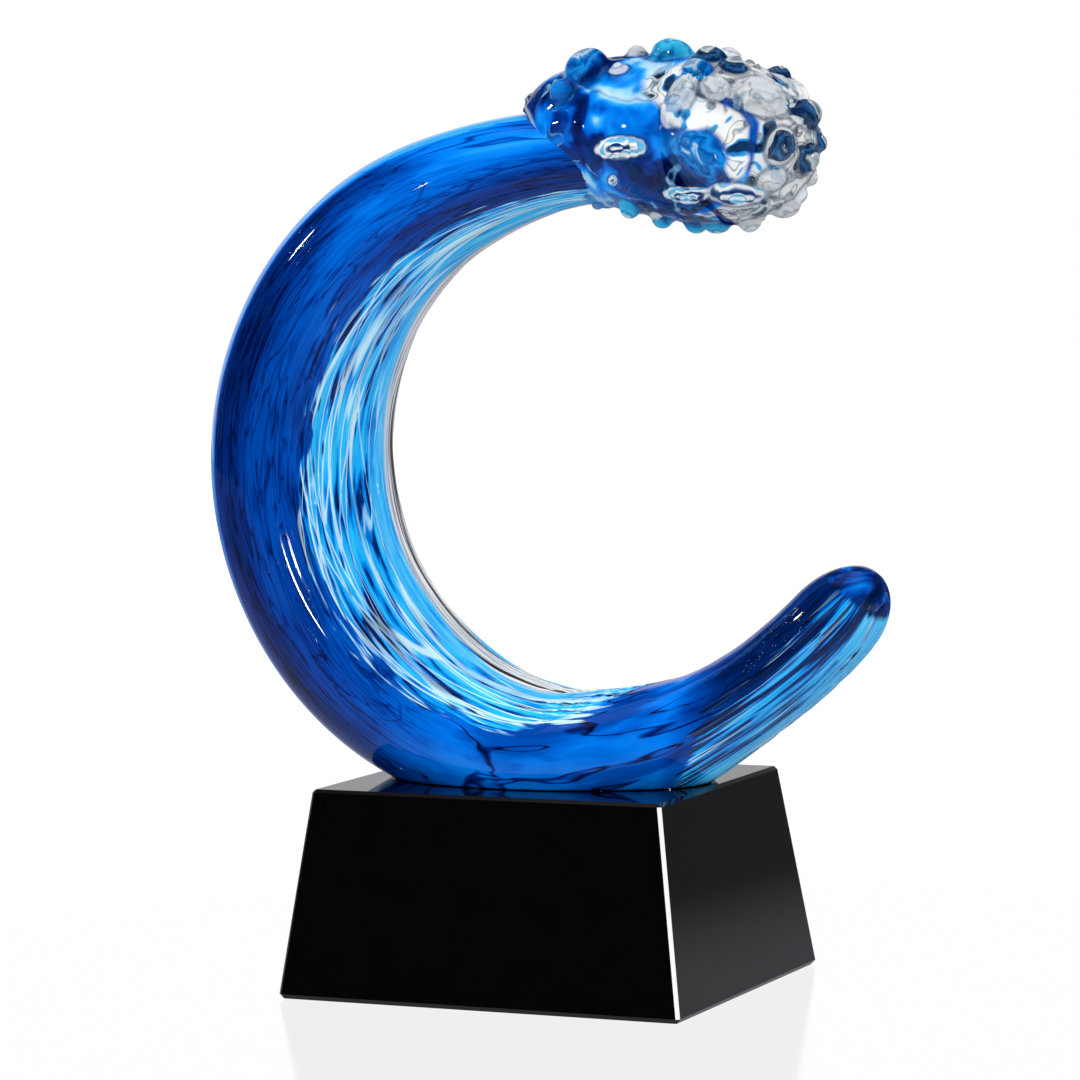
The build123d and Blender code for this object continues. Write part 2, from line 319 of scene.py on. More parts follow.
# %% Polish the plinth
GLASS_IOR = 1.5
black_glass, bench = new_material("polished_black_glass")
marks = bench.noise(bench.object_place(), 90.0, 4.0, 0.6)
body = bench.node("ShaderNodeBsdfPrincipled", inputs={
    "Base Color": bench.mix(marks, (0.0006, 0.0006, 0.0008), (0.0016, 0.0016, 0.002)),
    "Roughness": marks * 0.02 + 0.01,
    "IOR": GLASS_IOR,
})
bench.node("ShaderNodeOutputMaterial", inputs={0: body})


def dress(node_name, material):
    """Gives a node of the frame its material."""
    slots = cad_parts[node_name].data.materials
    slots.clear()
    slots.append(material)


dress("base_block", black_glass)
print("the plinth is black glass")

# %% [markdown]
# ## The wave's path and section
# The arm follows tangent arcs, and its section is an oval with slightly squared
# flanks that grows and shrinks along the way. These are the sizes of the solid
# model, in millimetres, so the dressed arm lies exactly on it.

# %% Follow the wave's middle line
seat_height = 63.8
foot_place = 9.0
foot_grind = 11.5
wave_half_width = 27.5
wave_half_depth = 32.0
foot_line_height = seat_height + wave_half_width * 0.7 - foot_grind
crest_arcs = ((97.0, 14.5), (90.0, 76.5), (88.0, 65.5), (140.0, 30.5))
tail_arcs = ((97.0, 29.0), (170.0, 23.5))


def run_length(arcs):
    return sum(radius * radians(sweep) for radius, sweep in arcs)


def on_run(along):
    """The middle line's place and heading at a length from the foot: the crest is
    on the positive side and the tail on the negative one. Headings run to the tail."""
    arcs, side = (crest_arcs, -1.0) if along > 0 else (tail_arcs, 1.0)
    x, z, heading, left = foot_place, foot_line_height, pi if along > 0 else 0.0, abs(along)
    for radius, sweep in arcs:
        turn = min(left / radius, radians(sweep))
        middle_x = x - sin(heading) * radius * side
        middle_z = z + cos(heading) * radius * side
        heading += turn * side
        x = middle_x + sin(heading) * radius * side
        z = middle_z - cos(heading) * radius * side
        left -= turn * radius
        if left <= 0:
            break
    forward = heading if along <= 0 else heading + pi
    return np.array((x, 0.0, z)), np.array((cos(forward), 0.0, sin(forward)))


crest_length, tail_length = run_length(crest_arcs), run_length(tail_arcs)
print("crest run", round(crest_length, 1), "mm, tail run", round(tail_length, 1), "mm")

# %% Read the wave's section anywhere along it
# Share of the run, of the half width, of the half depth, of the section that is
# clear on the ribbed side, and the degrees that the ribbed side has turned
crest_stations = (
    (1.0, 0.49, 0.46, 0.2, 0), (0.9, 0.55, 0.6, 0.28, 0), (0.8, 0.66, 0.72, 0.38, 0),
    (0.68, 0.83, 0.81, 0.48, 0), (0.56, 0.94, 0.87, 0.55, 0), (0.43, 1.0, 0.91, 0.58, 0),
    (0.31, 0.97, 0.95, 0.56, 0), (0.2, 0.9, 0.98, 0.5, 0), (0.1, 0.8, 1.0, 0.42, 0),
)
tail_stations = (
    (0.0, 0.7, 1.0, 0.34, -5), (0.14, 0.69, 0.9, 0.32, -25), (0.28, 0.65, 0.74, 0.32, -55),
    (0.42, 0.56, 0.59, 0.34, -90), (0.56, 0.52, 0.52, 0.38, -120), (0.7, 0.51, 0.49, 0.42, -150),
    (0.84, 0.5, 0.46, 0.46, -175), (1.0, 0.5, 0.46, 0.46, -178),
)
clear_skin = 2.2
flank_power = 2 / 2.35
ribbed_half_angle = 100.0
tip_starts = 0.82
rib_pitch = 15.0
groove_share = 0.04
narrow_ribs = 46.0
ribs_widen = 110.0

stations = [(share * crest_length, *rest) for share, *rest in crest_stations]
stations += [(-share * tail_length, *rest) for share, *rest in tail_stations]
stations = np.array(sorted(stations))


def smooth_read(along, column):
    """A smooth curve through the stations' values."""
    places, values = stations[:, 0], stations[:, column]
    slopes = np.gradient(values, places)
    low = np.clip(np.searchsorted(places, along) - 1, 0, len(places) - 2)
    span = places[low + 1] - places[low]
    t = (along - places[low]) / span
    return (
        values[low] * (1 + 2 * t) * (1 - t) ** 2 + values[low + 1] * t * t * (3 - 2 * t)
        + slopes[low] * span * t * (1 - t) ** 2 - slopes[low + 1] * span * t * t * (1 - t)
    )


def signed_power(value, power):
    return np.sign(value) * np.abs(value) ** power


def wrapped(degrees):
    """The same angle, from -180 to 180."""
    return (degrees + 180) % 360 - 180


def wave_ring(along, around, core=False, tip_end=1.0):
    """Points of one section, and how clear the glass is there. around is in degrees
    from the middle of the ribbed side, towards the front."""
    place, heading = on_run(along)
    inside = np.cross((0.0, -1.0, 0.0), heading)
    clear_share = smooth_read(along, 3)
    turned = smooth_read(along, 4)
    past_tip = (-along / tail_length - tip_starts) / (tip_end - tip_starts)
    size = sqrt(max(1 - max(past_tip, 0.0) ** 2, 0.0))
    half_width = wave_half_width * smooth_read(along, 1)
    half_depth = wave_half_depth * smooth_read(along, 2)
    turn = np.radians(around + turned)
    inward = signed_power(np.cos(turn), flank_power) * half_width
    front = signed_power(np.sin(turn), flank_power) * half_depth
    reach = np.minimum(np.abs(around) / ribbed_half_angle, 1)
    clear = (1 + np.cos(pi * reach)) / 2
    radius = np.hypot(inward, front)
    ribbed = min(max(along / (0.1 * crest_length), 0.0), 1.0)
    groove = clear * (1 - np.cos(2 * pi * around / rib_pitch)) / 2 * groove_share * ribbed
    scale = np.full_like(radius, size) * (1 if core else 1 - groove)
    if core:
        scale = scale * (radius - clear_skin - radius * clear * clear_share) / radius
    ring = place + np.outer(inward * scale, inside) + np.outer(front * scale, (0.0, -1.0, 0.0))
    return ring, clear


print(len(stations), "stations along the wave")

# %% [markdown]
# ## A skin over rings of points
# The arm is a tube, so it is woven from rings. Each point also keeps the numbers
# that the ribs and the paint need, such as how far along the arm it is, how far
# round from the ribbed side, and how clear the glass is there.

# %% Weave rings into a closed mesh
def woven_tube(name, rings, notes):
    """A closed tube from rings of points; notes holds a value per point and name."""
    count, around = len(rings), len(rings[0])
    middles = [rings[0].mean(axis=0), rings[-1].mean(axis=0)]
    points = np.vstack([np.vstack(rings), middles]) * MM
    start = np.arange(around)
    after = np.roll(start, -1)
    quads = [
        np.stack((row * around + start, row * around + after,
                  (row + 1) * around + after, (row + 1) * around + start), axis=1)
        for row in range(count - 1)
    ]
    first, last = count * around, count * around + 1
    lids = [(int(after[i]), int(start[i]), first) for i in range(around)]
    far = (count - 1) * around
    lids += [(int(far + start[i]), int(far + after[i]), last) for i in range(around)]
    mesh = bpy.data.meshes.new(name)
    mesh.from_pydata(points.tolist(), [], np.vstack(quads).tolist() + lids)
    for note, values in notes.items():
        flat = np.concatenate([np.concatenate(values), values[0][:1], values[-1][:1]])
        keep(mesh, note, flat)
    mesh.shade_smooth()
    mesh.update()
    return put(name, mesh)


print("a skin can be woven")


# %% Work out the paint's numbers
def step(low, high, value):
    """0 below low, 1 above high, smooth between; low may be above high."""
    t = np.clip((value - low) / (high - low), 0, 1)
    return t * t * (3 - 2 * t)


def wave_notes(along, around):
    """Numbers for the paint at one section. "side" counts from the clear lines on
    the inside of the curl, and is 1 at the ribs' edge. "tone" is how bright the blue
    is outside the ribs, and "plain" how free of squiggles. "straight" is the angle
    round without the ribs' turn. "tail" is 1 on the tail, and "tip" at its end."""
    share = along / (crest_length if along > 0 else tail_length)
    straight = wrapped(around + smooth_read(along, 4))
    # The painted clear lines sit where the camera looks along the inside of the curl
    lines_at = -24.0 * sin(pi * share) if share > 0 else 30.0 * share
    away = np.abs(wrapped(around - lines_at))
    over_edge = 16.0 * step(0.0, -0.12, share) * step(-0.44, -0.32, share)
    side = away / (narrow_ribs + (smooth_read(along, 3) - 0.2) * ribs_widen + over_edge)
    near_crest = step(0.62, 0.86, share)
    belly = step(0.2, 0.06, share) * step(-0.62, -0.36, share)
    tail = step(-0.1, -0.36, share)
    tone = np.full(len(around), 0.47)
    if share < -0.14:
        # More streaks run up the outside of the tail, round 172 degrees, and its top
        # edge, round -10 degrees, is clear
        outer = np.abs(wrapped(straight - 172))
        side = np.minimum(side, outer / (0.1 + 84 * step(-0.14, -0.52, share)))
        tone -= 0.22 * tail * step(1.9, 1.1, side)
        top_edge = np.abs(straight + 10) / (0.1 + 24 * step(-0.36, -0.56, share))
        side = np.maximum(np.minimum(side, top_edge), 0.26 * tail * step(90, 120, np.abs(straight)))
    # The arm's outside gets a painted bright rim at the back, where light through its thin edge would
    # show, and a painted dark band of shade before it
    on_arm = step(-0.02, 0.12, share)
    tone += 0.5 * step(152, 162, away) * on_arm
    tone -= 0.2 * step(116, 132, away) * step(160, 150, away) * on_arm
    tone += near_crest * (0.45 * step(92, 125, away) - 0.14 * step(100, 80, away))
    tone += belly * 0.2 * step(35, 75, away) - step(-0.3, -0.6, share) * 0.06
    plain = np.maximum(belly, near_crest * 0.8 * step(90, 115, away))
    one = np.ones(len(around))
    return {"around": around, "straight": straight, "along": one * along, "side": side, "tone": tone,
            "plain": plain, "tail": one * tail, "tip": one * step(-0.88, -0.985, share)}


print("each ring can keep", len(wave_notes(1.0, np.zeros(1))), "numbers")


# %% Weave the whole wave
def wave_tube(name, columns, rows, core, arm_end, tip_end, bow):
    """The whole wave: rows stand closer at the tip, columns on the ribbed side."""
    turn = np.linspace(-pi, pi, columns, endpoint=False)
    around = np.degrees(turn - bow * np.sin(turn))
    tip = -tail_length * tip_end
    round_tip = tip * (tip_starts / tip_end)
    spread = np.sin(np.linspace(0, pi / 2, rows // 8 + 1)[1:]) * (tip - round_tip) + round_tip
    # The last ring stays a little open, so that a lid can close it
    alongs = np.concatenate((np.linspace(arm_end, round_tip, rows), spread[:-1], [tip * 0.9997]))
    rings, notes = [], {}
    for along in alongs:
        ring, clear = wave_ring(along, around, core, tip_end)
        rings.append(ring)
        for note, values in {"clear": clear, **wave_notes(along, around)}.items():
            notes.setdefault(note, []).append(values)
    return woven_tube(name, rings, notes)


print("tubes can be woven")

# %% [markdown]
# ## Ribs along the flow
# The ribs on the real arm were pulled out of soft glass, so they run along it,
# join and part, and fade towards the flanks. A geometry node tree presses them
# into the skin: noise that is stretched along the arm moves each point inwards.

# %% Open and close a node tree
def open_tree(name, numbers, wholes=()):
    """An empty geometry tree with named inputs, and what reads one of them."""
    tree = bpy.data.node_groups.new(name, "GeometryNodeTree")
    face = tree.interface
    face.new_socket("Geometry", in_out="OUTPUT", socket_type="NodeSocketGeometry")
    kinds = (("Geometry", ("Geometry",)), ("Float", numbers), ("Int", wholes), ("Material", ("Glass",)))
    for kind, names in kinds:
        for each in names:
            face.new_socket(each, in_out="INPUT", socket_type="NodeSocket" + kind)
    nodes = Bench(tree)
    given = nodes.node("NodeGroupInput").socket.node
    return nodes, lambda each: Wire(nodes, given.outputs[each])


def close_tree(nodes, gift, shape):
    """Ends a tree: real faces, smooth shading and the glass."""
    real = nodes.node("GeometryNodeRealizeInstances", inputs={"Geometry": shape})
    smooth = nodes.node("GeometryNodeSetShadeSmooth", inputs={"Geometry": real})
    glazed = nodes.node("GeometryNodeSetMaterial", inputs={"Geometry": smooth, "Material": gift("Glass")})
    nodes.node("NodeGroupOutput", inputs={"Geometry": glazed})
    return nodes.tree


def pushed_in(nodes, gift, depth):
    """The given shape with each point moved inwards by a depth in millimetres."""
    push = nodes.node("ShaderNodeVectorMath", {"operation": "SCALE"}, {
        0: nodes.node("GeometryNodeInputNormal"), "Scale": depth * -MM})
    return nodes.node("GeometryNodeSetPosition", inputs={"Geometry": gift("Geometry"), "Offset": push})


print("a tree has a start and an end")


# %% Build the trees for ribs and waves
def rib_tree():
    nodes, gift = open_tree("pulled_ribs", (
        "Rib depth", "Ribs per turn", "Rib length", "Ripple depth", "Seed"))

    def note(name):
        return nodes.node("GeometryNodeInputNamedAttribute", {"data_type": "FLOAT"}, {"Name": name})

    def stretched(length, turns, seed):
        """Noise that is long along the arm and short round it."""
        turn = note("around") * (pi / 180)
        spot = nodes.node("ShaderNodeCombineXYZ", inputs={
            0: note("along") / length + note("around") * 0.004,
            1: turn.maths("COSINE") * turns / (2 * pi),
            2: turn.maths("SINE") * turns / (2 * pi)})
        return nodes.noise(spot, 1.0, 1.5, seed=seed)

    seed = gift("Seed")
    broad = stretched(gift("Rib length"), gift("Ribs per turn"), seed)
    valley = (broad * 2.0 - 1.0).maths("ABSOLUTE").ramp(0.0, 0.32)
    ripple = stretched(gift("Rib length") * 2.5, gift("Ribs per turn") * 0.35, seed + 7.0)
    fade = note("clear").ramp(0.02, 0.45)
    depth = (1.0 - valley) * fade * gift("Rib depth") + ripple * gift("Ripple depth")
    return close_tree(nodes, gift, pushed_in(nodes, gift, depth))


def melt_tree():
    """Low waves in every direction, as on glass that sagged while it was hot."""
    nodes, gift = open_tree("melted_waves", ("Wave depth", "Waves per metre", "Seed"))
    place = nodes.node("GeometryNodeInputPosition")
    swell = nodes.noise(place, gift("Waves per metre"), 1.0, 0.4, seed=gift("Seed"))
    depth = swell.ramp(0.3, 0.7) * gift("Wave depth")
    return close_tree(nodes, gift, pushed_in(nodes, gift, depth))


pulled_ribs, melted_waves = rib_tree(), melt_tree()
print("ribs take", len(pulled_ribs.nodes), "nodes, waves", len(melted_waves.nodes))


# %% Run a tree, and cut a piece
def take_mesh(piece):
    """Gives a piece the mesh that its modifiers make, and takes them off."""
    graph = bpy.context.evaluated_depsgraph_get()
    mesh = bpy.data.meshes.new_from_object(piece.evaluated_get(graph))
    piece.modifiers.clear()
    old, piece.data = piece.data, mesh
    bpy.data.meshes.remove(old)
    mesh.name = piece.name
    print(piece.name, len(mesh.polygons), "faces")


def run_tree(piece, tree, **values):
    """Runs a tree on a piece and keeps the result as its plain mesh."""
    modifier = piece.modifiers.new(tree.name, "NODES")
    modifier.node_group = tree
    for item in tree.interface.items_tree:
        if item.item_type == "SOCKET" and item.in_out == "INPUT" and item.name in values:
            modifier[item.identifier] = values[item.name]
    take_mesh(piece)


def cut_away(piece, place, outwards, ground=False):
    """Cuts off what lies beyond a plane, in millimetres, and closes the cut. A ground
    cut is flat-shaded."""
    work = bmesh.new()
    work.from_mesh(piece.data)
    everything = work.verts[:] + work.edges[:] + work.faces[:]
    made = bmesh.ops.bisect_plane(work, geom=everything, plane_co=Vector(place) * MM,
                                  plane_no=Vector(outwards), clear_outer=True)
    rim = [e for e in made["geom_cut"] if isinstance(e, bmesh.types.BMEdge)]
    lid = bmesh.ops.edgenet_fill(work, edges=rim)["faces"]
    if ground:
        for lid_face in lid:
            lid_face.smooth = False
        bmesh.ops.triangulate(work, faces=lid)
    bmesh.ops.recalc_face_normals(work, faces=work.faces)
    work.to_mesh(piece.data)
    work.free()


print("pieces can be run through a tree and sawn")

# %% [markdown]
# ## Clear glass and blue glass
# Clear glass bends light and takes almost none. Blue glass is the same glass with
# metal salts melted in, which eat red first, then green, then a little blue, so it
# is pale where thin and deep where thick. The blue core sits inside the clear
# casing with no air between, so its own surface must not bend light at all: it is
# a see-through surface round a volume that absorbs.

# %% Patterns that follow the flow
def noted(bench, name):
    """A number that the mesh keeps on its points."""
    return bench.node("ShaderNodeAttribute", {"attribute_name": name}, out="Fac")


def flow_spot(bench, length, turns, shear, warp):
    """Coordinates drawn out along the arm: one unit is length millimetres along it,
    and turns of them go round it."""
    turn = (noted(bench, "straight") + noted(bench, "along") * shear) * (pi / 180)
    spot = bench.node("ShaderNodeCombineXYZ", inputs={
        0: noted(bench, "along") / length,
        1: turn.maths("COSINE") * (turns / (2 * pi)),
        2: turn.maths("SINE") * (turns / (2 * pi))})
    if not warp:
        return spot
    wander = bench.noise(spot, 0.7, 2.0, out="Color")
    return bench.node("ShaderNodeVectorMath", {"operation": "MULTIPLY_ADD"}, {
        0: wander, 1: (warp, warp, warp), 2: spot})


def flow_noise(bench, length, turns, seed, detail=3.0, roughness=0.55, shear=0.0, warp=0.0):
    return bench.noise(flow_spot(bench, length, turns, shear, warp), 1.0, detail, roughness, seed)


def colours(bench, value, *stops):
    return bench.node("ShaderNodeValToRGB", {"stops": stops}, {0: value})


def thin_lines(value, width, middle=0.5):
    """Thin lines where a value passes through its middle."""
    return (1.0 - (value - middle).maths("ABSOLUTE") / width).held()


print("patterns can flow along the arm")


# %% Melt the glasses
def bending_glass(bench, colour, height, strength, distance=0.0006):
    """Glass that bends light, with a faint relief."""
    relief = bench.node("ShaderNodeBump", inputs={
        "Strength": strength, "Distance": distance, "Height": height})
    return bench.node("ShaderNodeBsdfPrincipled", inputs={
        "Base Color": colour, "Roughness": 0.0, "IOR": GLASS_IOR, "Transmission Weight": 1.0,
        "Normal": relief})


def painted_glass(bench, paint, roughness, share, bending):
    """Ends a material: glass with its colour in the skin, mixed by share with glass
    that bends light."""
    dense = bench.node("ShaderNodeBsdfPrincipled", inputs={
        "Base Color": paint, "Roughness": roughness, "IOR": GLASS_IOR})
    both = bench.node("ShaderNodeMixShader", inputs={0: share, 1: bending, 2: dense})
    bench.node("ShaderNodeOutputMaterial", inputs={0: both})


def inside_glass(name, colour, density):
    """Blue glass that lies in clear glass. Colour is what is left after one metre at
    density 1, and density is how many times stronger it is."""
    material, bench = new_material(name)
    surface = bench.node("ShaderNodeBsdfTransparent", inputs={"Color": (1.0, 1.0, 1.0, 1.0)})
    salts = bench.node("ShaderNodeVolumeAbsorption", inputs={"Color": (*colour, 1.0), "Density": density})
    bench.node("ShaderNodeOutputMaterial", inputs={0: surface, 1: salts})
    return material


clear_glass, bench = new_material("clear_froth_glass")
cords = bench.noise(bench.object_place(), 130.0, 2.0)
body = bending_glass(bench, bench.mix(cords.ramp(0.42, 0.58), (0.8, 0.92, 0.98), plain_white), cords, 0.3)
bench.node("ShaderNodeOutputMaterial", inputs={0: body})
blue_core_glass = inside_glass("blue_core_glass", (0.0, 0.8, 0.98), 220.0)
print("clear and blue glass are ready")

# %% [markdown]
# ## Paint for the arm
# The arm's colours are layers that were drawn out with it, so every pattern here is
# noise in coordinates that are long along the arm and short round it. Real layers
# lie inside the glass. They are painted on its skin, over the blue core, because
# they then stay where they are from each side.
# Not every colour here is a layer: the bright rim at the arm's back, the dark band before it, the pale
# lines on the ribs and the black, grey and white lines in the clear middle are painted light and shade.

# %% Streak the blue flanks
streaked_glass, bench = new_material("streaked_casing_glass")
broad = flow_noise(bench, 90.0, 18.0, 1.0, 2.0, 0.5, 0.12)
fine = flow_noise(bench, 30.0, 70.0, 5.0, 3.0, 0.6, 0.12, 0.5)
side_mark = noted(bench, "side")
tail = noted(bench, "tail")
side = side_mark + ((broad - 0.5) * 0.34 + (fine - 0.5) * 0.16) * (tail * 1.2 + 1.0)
plain = noted(bench, "plain")

# Blue from navy to azure, with thin dark squiggles, and in the plain parts a few
# long dark curls instead
pool = flow_noise(bench, 75.0, 8.0, 33.0, 4.0, 0.6, 0.06, 1.2)
squiggles = thin_lines(flow_noise(bench, 34.0, 60.0, 21.0, 2.5, 0.55, 0.04, 2.0), 0.035)
hairs = thin_lines(flow_noise(bench, 40.0, 110.0, 23.0, 2.0, 0.5, 0.04, 1.2), 0.05)
curls = thin_lines(flow_noise(bench, 60.0, 12.0, 35.0, 2.0, 0.5, 0.1, 3.0), 0.022)
busy = 1.0 - plain
dark_marks = (squiggles * 0.26 + hairs * 0.16) * busy
dark_marks = dark_marks + (curls * 0.55 + pool.ramp(0.5, 0.4) * 0.14) * plain
# The kept tone brings in the painted bright rim at the arm's back and the painted dark band of shade
# before it
blue_tone = noted(bench, "tone") + (pool - 0.5) * 0.75 - dark_marks
flank = colours(bench, blue_tone,
    (0.0, (0.0, 0.003, 0.03)), (0.14, (0.0, 0.012, 0.1)), (0.3, (0.0, 0.031, 0.235)),
    (0.46, (0.0, 0.072, 0.43)), (0.62, (0.0, 0.15, 0.7)), (0.8, (0.004, 0.25, 0.93)),
    (1.0, (0.045, 0.42, 1.0)))
print("the flanks have", len(streaked_glass.node_tree.nodes), "nodes")

# %% Streak the ribbed band
# Sharp slivers of navy and bright blue in cyan, under long pale lines that run along
# the ribs and cross at a small angle. The pale lines, and the one along the band's edge, are painted
# light: they stand in for the white backdrop seen through the ribs
sliver = flow_noise(bench, 24.0, 84.0, 41.0, 2.0, 0.5, 0.1, 0.6)
patch = flow_noise(bench, 70.0, 24.0, 47.0, 2.0, 0.5, 0.1, 0.4)
water = colours(bench, sliver * 1.5 + patch * 0.6 - 0.56 - tail * 0.14,
    (0.2, (0.0, 0.01, 0.07)), (0.32, (0.0, 0.03, 0.2)), (0.345, (0.0, 0.15, 0.58)),
    (0.42, (0.0, 0.27, 0.8)), (0.46, (0.01, 0.42, 0.93)), (0.62, (0.025, 0.54, 1.0)),
    (0.82, (0.09, 0.68, 1.0)), (0.97, (0.35, 0.85, 1.0)))
lines = 0.0
for length, turns, seed, shear, width, strength in (
        (230.0, 30.0, 61.0, 0.1, 0.02, 1.0), (190.0, 24.0, 67.0, -0.14, 0.016, 0.9),
        (210.0, 40.0, 73.0, 0.04, 0.018, 0.8), (150.0, 26.0, 79.0, 0.26, 0.013, 0.8)):
    flow = flow_noise(bench, length, turns, seed, 1.0, 0.4, shear, 0.25)
    line = (thin_lines(flow, width) * 1.8).held()
    lines = (line * strength).maths("MAXIMUM", lines)
rim_line = thin_lines(side_mark + (broad - 0.5) * 0.22, 0.018, 0.93)
gaps = patch.ramp(0.36, 0.5)
lines = (lines * (gaps * 0.55 + 0.45)).maths("MAXIMUM", rim_line * fine.ramp(0.48, 0.6) * (1.0 - tail))
water = bench.mix(lines * (1.0 - tail * (patch.ramp(0.62, 0.5) * 0.65 + 0.3)), water, (0.64, 0.92, 1.0))
print("with the band,", len(streaked_glass.node_tree.nodes), "nodes")

# %% Streak the clear middle, and lay the paints over each other
# The middle is clear glass, painted with narrow lines of black, grey and white: painted light and shade
# that stand in for the white backdrop and the dark room seen through it
thread = flow_noise(bench, 200.0, 150.0, 55.0, 3.0, 0.6, 0.02)
painted_refraction_lines = colours(bench, thread,
    (0.34, (0.004, 0.005, 0.01)), (0.42, (0.12, 0.115, 0.11)), (0.46, (0.62, 0.62, 0.61)),
    (0.52, (1.0, 1.0, 1.0)), (0.6, (0.25, 0.3, 0.36)), (0.66, (0.85, 0.93, 1.0)))
calm = colours(bench, thread * 0.4 + fine * 0.6,
    (0.34, (0.0, 0.24, 0.8)), (0.45, (0.03, 0.48, 1.0)), (0.62, (0.16, 0.68, 1.0)))
paint = bench.mix(side_mark.ramp(0.15, 0.19).maths("MAXIMUM", tail), painted_refraction_lines, calm)
paint = bench.mix(side.ramp(0.27, 0.36), paint, water)
ragged = side + (sliver - 0.5) * 0.9
paint = bench.mix(ragged.ramp(0.94, 1.02), paint, flank)

# The tip's end has no direction of flow: its glass is stirred dark blue
stirred_tip = bench.noise(bench.object_place(), 75.0, 2.0, Distortion=1.8)
tip_paint = colours(bench, stirred_tip,
    (0.36, (0.0, 0.006, 0.045)), (0.49, (0.0, 0.022, 0.18)), (0.58, (0.0, 0.08, 0.48)),
    (0.7, (0.0, 0.24, 0.82)), (0.8, (0.2, 0.55, 0.95)))
paint = bench.mix((noted(bench, "tip") * 1.6 + (fine - 0.5) * 0.8).ramp(0.5, 0.9), paint, tip_paint)

ridges = (sliver - lines * 0.4) * side.ramp(1.1, 0.9) + squiggles * 0.08
glassy = bending_glass(bench, bench.mix(0.92, plain_white, paint), ridges, 0.5)
painted_glass(bench, paint, 0.02, plain * 0.2 + 0.7, glassy)
print("the casing's paint has", len(streaked_glass.node_tree.nodes), "nodes")

# %% [markdown]
# ## The arm
# First the clear casing with its ribs, then the blue core inside it, as the glass
# was gathered in two layers. Both end inside the head, where the cut doesn't show.
# The foot is ground flat, because that is how the real one sits on its plinth.

# %% Pull the casing and the core
casing_end, core_end = crest_length - 18.5, crest_length - 22.0
core_tip = 0.945
casing = wave_tube("wave_casing_ribbed", 300, 270, False, casing_end, 1.0, 0.45)
run_tree(casing, pulled_ribs, **{
    "Rib depth": 0.45, "Ribs per turn": 60.0, "Rib length": 60.0, "Ripple depth": 0.3,
    "Seed": 3.0, "Glass": streaked_glass})
cut_away(casing, (0, 0, seat_height + 0.02), (0, 0, -1), ground=True)
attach(casing, "root")
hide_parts("wave_casing")

core = wave_tube("wave_core_blue", 240, 240, True, core_end, core_tip, 0.35)
run_tree(core, pulled_ribs, **{
    "Rib depth": 2.2, "Ribs per turn": 34.0, "Rib length": 80.0, "Ripple depth": 0.8,
    "Seed": 11.0, "Glass": blue_core_glass})
cut_away(core, (0, 0, seat_height + 0.3), (0, 0, -1), ground=True)
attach(core, "root")
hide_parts("wave_core")

# %% [markdown]
# ## The crest's head
# The head is a lump of hot glass lapped over the arm's end, on which drops were
# dabbed. Hot drops melt into what they touch, so each one has a soft neck. That
# look comes from the way it is made here: an egg and its drops are laid together
# as plain closed shapes, a voxel remesh makes one skin of them, and smoothing
# rounds the creases where they meet, as the flame does.

# %% Set out the head and its drops
head_line = np.array((0.99255, 0.0, -0.12187))
head_up = np.array((0.12187, 0.0, 0.99255))
head_front = np.array((0.0, -1.0, 0.0))
crest_end = np.array((43.0443, 0.0, 253.0772))
head_rise, head_reach = 6.5, 12.0
head_origin = crest_end + head_up * head_rise + head_line * head_reach
head_radius = 26.0
head_nose_length = 37.0
head_lap_length = 62.0
drop_sink_share = 0.2
inlay_sink_share = 0.55

